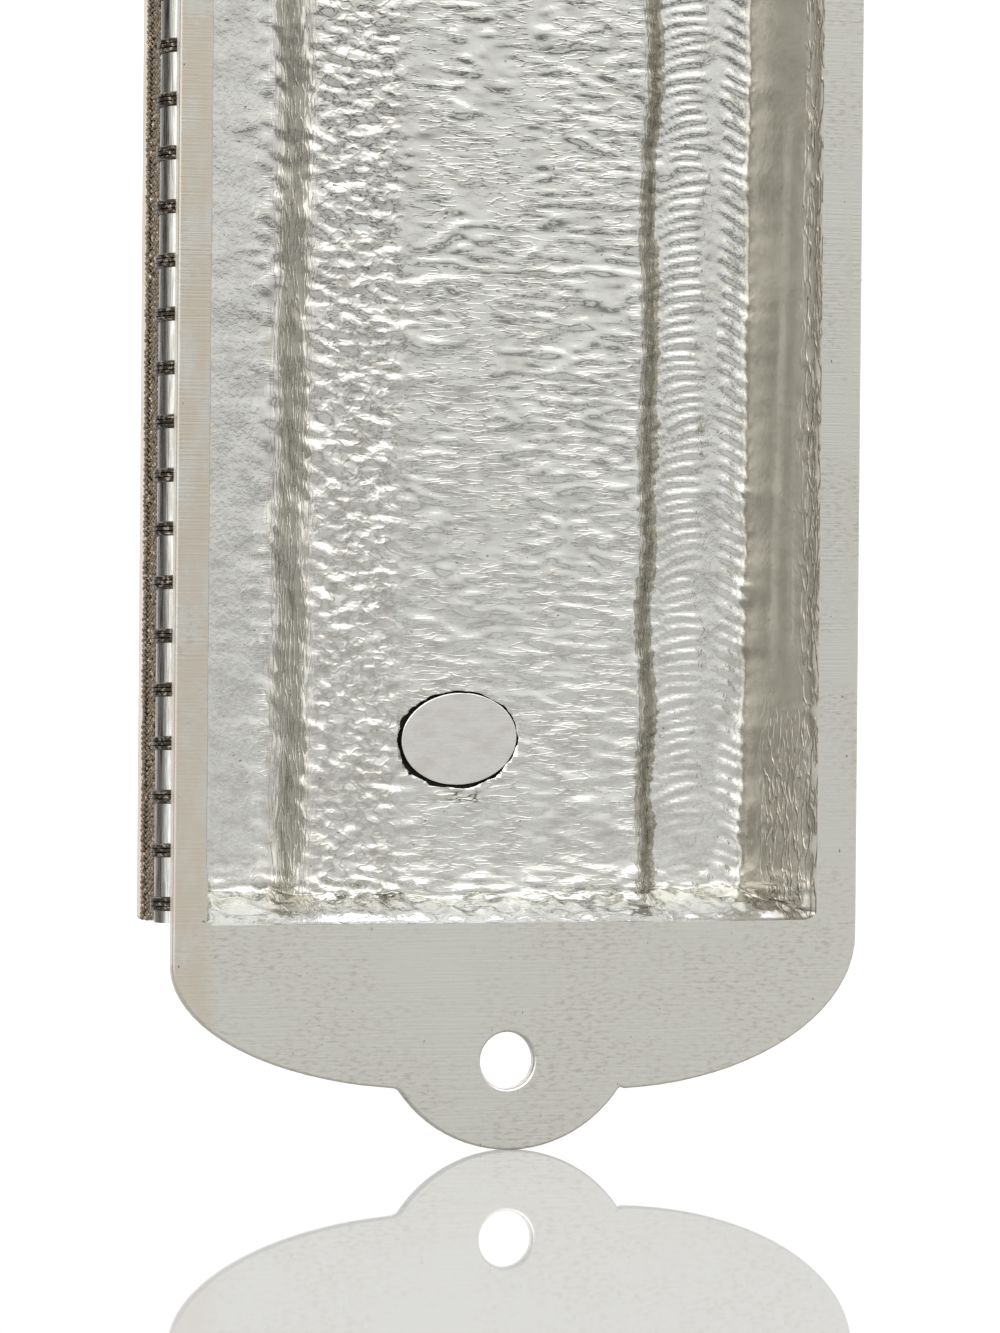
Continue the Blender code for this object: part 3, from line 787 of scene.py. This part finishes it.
# %% The finished casting
casting = bmesh.new()
casting.from_mesh(block_object.data)
bpy.data.objects.remove(block_object)
GROUND, SKIN, GAP = 0, 1, 2
SKIN_SIDE = 17.3 * MM
SKIN_FLOOR = 5.9 * MM
POCKET_REACH = 4.9 * MM
NEAR_OVAL = 1.05
for face in casting.faces:
    middle = face.calc_center_median()
    across_oval = (middle.x - plaque_middle.x) / (0.55 * plaque_size.x)
    up_oval = (middle.z - plaque_middle.z) / (0.56 * plaque_size.z)
    in_oval = across_oval**2 + up_oval**2 < NEAR_OVAL
    in_reach = abs(middle.x) < SKIN_SIDE and abs(middle.z) < HOLLOW_END
    faces_back = face.normal.y > 0.02 and -SKIN_FLOOR < middle.y < -BELOW_BACK
    pocket_wall = in_oval and middle.y > -POCKET_REACH and abs(face.normal.y) < 0.05
    pocket_floor = abs(middle.y + POCKET_DEPTH) < JUST and face.normal.y > 0.99
    face.material_index = SKIN if in_reach and faces_back else GROUND
    if pocket_wall or pocket_floor:
        face.material_index = GAP
finish_piece(
    "cast_case",
    casting,
    (ground_plate, cast_skin, black_gap),
    replaces=("case_body",),
    sharp=50.0,
    flats=True,
)


# %% The plaque
def round_edges(shape, offset, angle=50.0, segments=3):
    """Round every edge of a shape that is sharper than an angle in degrees."""
    corners = [edge for edge in shape.edges if edge.calc_face_angle(0.0) > math.radians(angle)]
    bmesh.ops.bevel(
        shape,
        geom=corners,
        offset=offset,
        segments=segments,
        affect="EDGES",
        profile=0.5,
        material=-1,
    )


plaque = oval(plaque_size.x, plaque_size.z, plaque_high.y, plaque_low.y)
bmesh.ops.translate(plaque, verts=plaque.verts, vec=(plaque_middle.x, 0.0, plaque_middle.z))
round_edges(plaque, PLAQUE_EDGE)
finish_piece("blank_plaque", plaque, (satin_plate,), replaces=("maker_plaque",), flats=True)

# %% [markdown]
# ## Bound rods
# Along each side lies a half-round rod, bound at even steps with twisted wire. Each binding ends
# in a small melted bead on the front side. The rod is a cylinder cut in half lengthwise. One
# binding is three turns of wire side by side, each spun half-way round the rod, then repeated.

# %% One binding of twisted wire
ROD_DEPTH = 2.45 * MM
ROD_RADIUS = 1.4 * MM
WIRE_RADIUS = 0.15 * MM
WIRE_STAND = 0.06 * MM
WIRE_LEAN = 0.14 * MM
WIRE_SPACING = 1.45
BIND_TURNS = 3
BEAD_RADIUS = 0.24 * MM
BEAD_PLACE = (0.35 * MM, -1.35 * MM)
BIND_PITCH = 2.775 * MM
BIND_FIRST = -49.1 * MM
BIND_COUNT = 36
BIND_STEPS = 22
STRAND_SIDES = 6
STRAND_ARC = math.radians(178.0)


def strand(centre, radius, lean):
    """One round wire that runs half-way round the rod and leans along it as it goes."""
    shape = bmesh.new()
    bmesh.ops.create_circle(shape, cap_ends=True, segments=STRAND_SIDES, radius=WIRE_RADIUS)
    bmesh.ops.translate(shape, verts=shape.verts, vec=(radius, 0.0, 0.0))
    bmesh.ops.rotate(shape, verts=shape.verts, matrix=Matrix.Rotation(math.radians(90.0), 3, "X"))
    first = list(shape.faces)
    bmesh.ops.spin(
        shape,
        geom=first,
        cent=(0.0, 0.0, 0.0),
        axis=(0.0, 0.0, 1.0),
        dvec=(0.0, 0.0, lean / BIND_STEPS),
        angle=STRAND_ARC,
        steps=BIND_STEPS,
    )
    bmesh.ops.rotate(shape, verts=shape.verts, matrix=Matrix.Rotation(-0.5 * STRAND_ARC, 3, "Z"))
    bmesh.ops.translate(shape, verts=shape.verts, vec=centre)
    bmesh.ops.recalc_face_normals(shape, faces=shape.faces)
    return shape


def add_shape(target, unit, offset=(0.0, 0.0, 0.0)):
    """Copy a small mesh into a larger one at an offset."""
    move = Matrix.Translation(offset)
    unit.transform(move)
    target.from_mesh(unit)
    unit.transform(move.inverted())


def as_mesh(name, shape):
    """A bmesh as a mesh that add_shape can copy many times."""
    mesh = bpy.data.meshes.new(name)
    shape.to_mesh(mesh)
    shape.free()
    return mesh


def binding(base):
    """Turns of fine wire side by side, and the bead where they end."""
    unit = bmesh.new()
    for turn in range(BIND_TURNS):
        place = (turn - 0.5 * (BIND_TURNS - 1)) * WIRE_SPACING * WIRE_RADIUS
        wire = strand((base, -ROD_DEPTH, place), ROD_RADIUS + WIRE_STAND, WIRE_LEAN)
        piece = as_mesh("strand", wire)
        add_shape(unit, piece)
        bpy.data.meshes.remove(piece)
    bead = bmesh.new()
    bmesh.ops.create_icosphere(bead, subdivisions=2, radius=BEAD_RADIUS)
    bead_place = (base + BEAD_PLACE[0], -ROD_DEPTH + BEAD_PLACE[1], 0.0)
    bmesh.ops.translate(bead, verts=bead.verts, vec=bead_place)
    piece = as_mesh("bead", bead)
    add_shape(unit, piece)
    bpy.data.meshes.remove(piece)
    for face in unit.faces:
        face.material_index = 1
    return as_mesh("binding", unit)


# %% Both rods
ROD_BASE = 17.9 * MM
ROD_LENGTH = 100.0 * MM
ROD_STEPS = 40
unit = binding(ROD_BASE)
for name, side in (("right", 1.0), ("left", -1.0)):
    rod = bmesh.new()
    bmesh.ops.create_cone(
        rod,
        cap_ends=True,
        segments=ROD_STEPS,
        radius1=ROD_RADIUS,
        radius2=ROD_RADIUS,
        depth=ROD_LENGTH,
    )
    bmesh.ops.translate(rod, verts=rod.verts, vec=(ROD_BASE, -ROD_DEPTH, 0.0))
    halves = list(rod.verts) + list(rod.edges) + list(rod.faces)
    bmesh.ops.bisect_plane(
        rod, geom=halves, plane_co=(ROD_BASE, 0.0, 0.0), plane_no=(-1.0, 0.0, 0.0), clear_outer=True
    )
    bmesh.ops.holes_fill(rod, edges=[edge for edge in rod.edges if edge.is_boundary])
    for index in range(BIND_COUNT):
        add_shape(rod, unit, (0.0, 0.0, BIND_FIRST + index * BIND_PITCH))
    if side < 0:
        bmesh.ops.scale(rod, verts=rod.verts, vec=(-1.0, 1.0, 1.0))
        bmesh.ops.reverse_faces(rod, faces=rod.faces)
    finish_piece(
        "bound_rod_" + name + "_wired",
        rod,
        (buffed_plate, black_wire),
        replaces=("bound_rod_" + name,),
    )

# %% [markdown]
# ## Granulated strips
# Between each rod and the front frame runs a strip set thickly with granules: beads of metal
# that were fused on and then blackened. Each strip is a soft-edged bar with hundreds of small
# beads pressed into its outer face.

# %% Granules
GRANULE = 0.15 * MM
OUTSET = 0.2 * MM
SET_FORWARD = 0.15 * MM
STAND_OUT = 0.6 * GRANULE
ROW_SPACING = 1.75
GRAIN_SPACING = 1.8
GRAIN_ROOM = 1.85
GAP_SHARE = 0.05
grain_unit = bmesh.new()
bmesh.ops.create_icosphere(grain_unit, subdivisions=1, radius=GRANULE)
grain_mesh = as_mesh("granule", grain_unit)


def sow_grains(shape, span, run_axis, face_axis, face_place, sign, picker):
    """Press granules into a flat face: span is the (low, high) corner pair of the face."""
    low, high = span
    rows_of_grains = max(1, int((high.y - low.y) / (ROW_SPACING * GRANULE)))
    grains = int((high[run_axis] - low[run_axis]) / (GRAIN_ROOM * GRANULE))
    for row in range(rows_of_grains):
        for index in range(grains):
            if picker.random() < GAP_SHARE:
                continue
            place = Vector((0.0, 0.0, 0.0))
            part = (row + 0.5 + 0.35 * (picker.random() - 0.5)) / rows_of_grains
            place.y = low.y + part * (high.y - low.y)
            run = index + 0.5 * (row % 2) + 0.3 * (picker.random() - 0.5)
            place[run_axis] = low[run_axis] + (run + 0.5) * GRAIN_SPACING * GRANULE
            place[face_axis] = face_place + sign * 0.25 * GRANULE * (picker.random() - 0.3)
            add_shape(shape, grain_mesh, place)


def granulated(node, axis, sign, seed):
    """A bar in a node's place, with granules over its outer face. axis: 0 for X, 2 for Z."""
    low, high = node_box(node)
    outer = high if sign > 0 else low
    outer[axis] += sign * OUTSET
    if axis == 0:
        high.y -= SET_FORWARD
    bar = bmesh.new()
    bmesh.ops.create_cube(bar, size=1.0)
    bar_size = high - low
    bar_size[axis] -= 2.0 * STAND_OUT
    middle = 0.5 * (low + high)
    middle[axis] -= sign * STAND_OUT
    bmesh.ops.scale(bar, verts=bar.verts, vec=bar_size)
    bmesh.ops.translate(bar, verts=bar.verts, vec=middle)
    round_edges(bar, EDGE_ROUND, segments=2)
    outer_face = middle[axis] + sign * 0.5 * bar_size[axis]
    sow_grains(bar, (low, high), 2 - axis, axis, outer_face, sign, random.Random(seed))
    return bar


STRIPS = (
    ("granulated_strip_right", 0, 1.0, 3),
    ("granulated_strip_left", 0, -1.0, 5),
    ("granulated_end_upper", 2, 1.0, 7),
    ("granulated_end_lower", 2, -1.0, 9),
)
for node, axis, sign, seed in STRIPS:
    finish_piece(
        node + "_beaded",
        granulated(node, axis, sign, seed),
        (granule_patina,),
        replaces=(node,),
    )

# %% [markdown]
# ## The front
# The front faces the room. A frame plate with soft edges holds a hammered panel, and a column of
# three leaves lies on the panel. A row of small beads follows the frame's window. The panel is a
# sheet with shallow hammer marks, and the leaves have a rib and veins, soldered on as fine wires.

# %% The frame plate with its beaded window
def copy_of(node):
    """A node's own shape with its flat faces joined, ready for new edges."""
    shape = bmesh.new()
    shape.from_mesh(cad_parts[node].data)
    bmesh.ops.remove_doubles(shape, verts=shape.verts, dist=WELD)
    bmesh.ops.dissolve_limit(shape, angle_limit=FLAT, verts=shape.verts, edges=shape.edges)
    return shape


BEAD = 0.3 * MM
WINDOW_SIDE = 8.75 * MM
WINDOW_END = 45.2 * MM
BEAD_STEP = 2.1 * BEAD
RIM_BORDER = 1.1 * MM
RIM_SINK = 0.3 * GRANULE
RIM_RISE = 0.5 * GRANULE
LIP_SINK = 1.2 * GRANULE
RIM_SEED, LIP_SEED = 11, 13
bead_unit = bmesh.new()
bmesh.ops.create_uvsphere(bead_unit, u_segments=8, v_segments=6, radius=BEAD)
bead_mesh = as_mesh("window_bead", bead_unit)
frame_low, frame_high = node_box("front_frame")
plate = copy_of("front_frame")
whole = list(plate.verts) + list(plate.edges) + list(plate.faces)
rim_line = (0.0, frame_low.y + RIM_BORDER, 0.0)
bmesh.ops.bisect_plane(plate, geom=whole, plane_co=rim_line, plane_no=(0.0, 1.0, 0.0))
for face in plate.faces:
    if abs(face.normal.x) > 0.9 and face.calc_center_median().y > rim_line[1]:
        face.material_index = 1
bmesh.ops.triangulate(plate, faces=plate.faces)
for face in grain_mesh.polygons:
    face.material_index = 1
rim_low, rim_high = frame_low.copy(), frame_high.copy()
rim_low.y += RIM_BORDER
rim_high.y += RIM_RISE
for side in (-1.0, 1.0):
    rim_face = side * (frame_high.x - RIM_SINK)
    sow_grains(plate, (rim_low, rim_high), 2, 0, rim_face, side, random.Random(RIM_SEED))
    lip_low = Vector((rim_low.x, rim_high.y - GRANULE, rim_low.z))
    lip_high = Vector((rim_high.x, rim_high.y + GRANULE, rim_high.z))
    inner = side * (frame_high.x - LIP_SINK)
    sow_grains(plate, (lip_low, lip_high), 2, 0, inner, side, random.Random(LIP_SEED))
down_side = round(2.0 * WINDOW_END / BEAD_STEP)
along_end = round(2.0 * WINDOW_SIDE / BEAD_STEP)
for index in range(down_side + 1):
    z = WINDOW_END * (2.0 * index / down_side - 1.0)
    for x in (-WINDOW_SIDE, WINDOW_SIDE):
        add_shape(plate, bead_mesh, (x, frame_low.y, z))
for index in range(1, along_end):
    x = WINDOW_SIDE * (2.0 * index / along_end - 1.0)
    for z in (-WINDOW_END, WINDOW_END):
        add_shape(plate, bead_mesh, (x, frame_low.y, z))
finish_piece(
    "front_frame_beaded",
    plate,
    (warm_plate, granule_patina),
    replaces=("front_frame",),
    flats=True,
)

# %% The hammered panel
HAMMER_STEPS_ACROSS = 60
HAMMER_STEPS_UP = 360
HAMMER_MARK = 1.3
HAMMER_DEPTH = 0.12 * MM
HAMMER_CURVE = 1.6
panel_low, panel_high = node_box("front_panel")
panel_size = panel_high - panel_low
sheet = bmesh.new()
bmesh.ops.create_grid(sheet, x_segments=HAMMER_STEPS_ACROSS, y_segments=HAMMER_STEPS_UP, size=0.5)
bmesh.ops.scale(sheet, verts=sheet.verts, vec=(panel_size.x, panel_size.z, 1.0))
bmesh.ops.rotate(sheet, verts=sheet.verts, matrix=Matrix.Rotation(math.radians(90.0), 3, "X"))
for vert in sheet.verts:
    spot = Vector((vert.co.x / MM, vert.co.z / MM, 2.0)) / HAMMER_MARK
    mark = noise.voronoi(spot)[0][0]
    vert.co.y = panel_low.y + HAMMER_DEPTH * (1.0 - min(1.0, mark * mark * HAMMER_CURVE))
outline = [edge for edge in sheet.edges if edge.is_boundary]
grown = bmesh.ops.extrude_edge_only(sheet, edges=outline)
for part in grown["geom"]:
    if isinstance(part, bmesh.types.BMVert):
        part.co.y = panel_high.y
bmesh.ops.holes_fill(sheet, edges=[edge for edge in sheet.edges if edge.is_boundary])
bmesh.ops.recalc_face_normals(sheet, faces=sheet.faces)
finish_piece("hammered_panel", sheet, (panel_patina,), replaces=("front_panel",))

# %% The veined leaves
LEAF_HEIGHT = 10.5 * MM
LEAF_SPACING = 9.75 * MM
LEAF_ROUND = 0.15 * MM
FOOT_SHARE, RIB_SHARE = 0.4, 0.75
RIB_RADIUS = 0.22 * MM
VEIN_RADIUS = 0.13 * MM
VEIN_PAIRS = 3
VEIN_FIRST, VEIN_STEP = 0.12, 0.2
VEIN_REACH, VEIN_SHRINK = 2.3, 0.5
VEIN_RISE = 1.7 * MM
VEIN_SIDES = 10
VEIN_TAPER = 0.4
leaves = copy_of("front_ornament")
leaf_low = node_box("front_ornament")[0]
round_edges(leaves, LEAF_ROUND)


def vein(start, end, thick):
    """A fine wire that tapers from its start to its end."""
    wire = bmesh.new()
    run = end - start
    bmesh.ops.create_cone(
        wire,
        cap_ends=True,
        segments=VEIN_SIDES,
        radius1=thick,
        radius2=VEIN_TAPER * thick,
        depth=run.length,
    )
    bmesh.ops.translate(wire, verts=wire.verts, vec=(0.0, 0.0, 0.5 * run.length))
    turn_to = run.to_track_quat("Z", "Y").to_matrix()
    bmesh.ops.rotate(wire, verts=wire.verts, matrix=turn_to)
    bmesh.ops.translate(wire, verts=wire.verts, vec=start)
    return wire


for leaf in (-1.0, 0.0, 1.0):
    foot = Vector((0.0, leaf_low.y, leaf * LEAF_SPACING - FOOT_SHARE * LEAF_HEIGHT))
    tip = foot + Vector((0.0, 0.0, RIB_SHARE * LEAF_HEIGHT))
    wires = [vein(foot, tip, RIB_RADIUS)]
    for pair in range(VEIN_PAIRS):
        start = foot.lerp(tip, VEIN_FIRST + VEIN_STEP * pair)
        for side in (-1.0, 1.0):
            reach = Vector((side * (VEIN_REACH - VEIN_SHRINK * pair) * MM, 0.0, VEIN_RISE))
            wires.append(vein(start, start + reach, VEIN_RADIUS))
    for wire in wires:
        piece = as_mesh("vein", wire)
        add_shape(leaves, piece)
        bpy.data.meshes.remove(piece)
finish_piece(
    "veined_leaves",
    leaves,
    (satin_plate,),
    replaces=("front_ornament",),
    flats=True,
)
for spare in (grain_mesh, unit, bead_mesh):
    bpy.data.meshes.remove(spare)
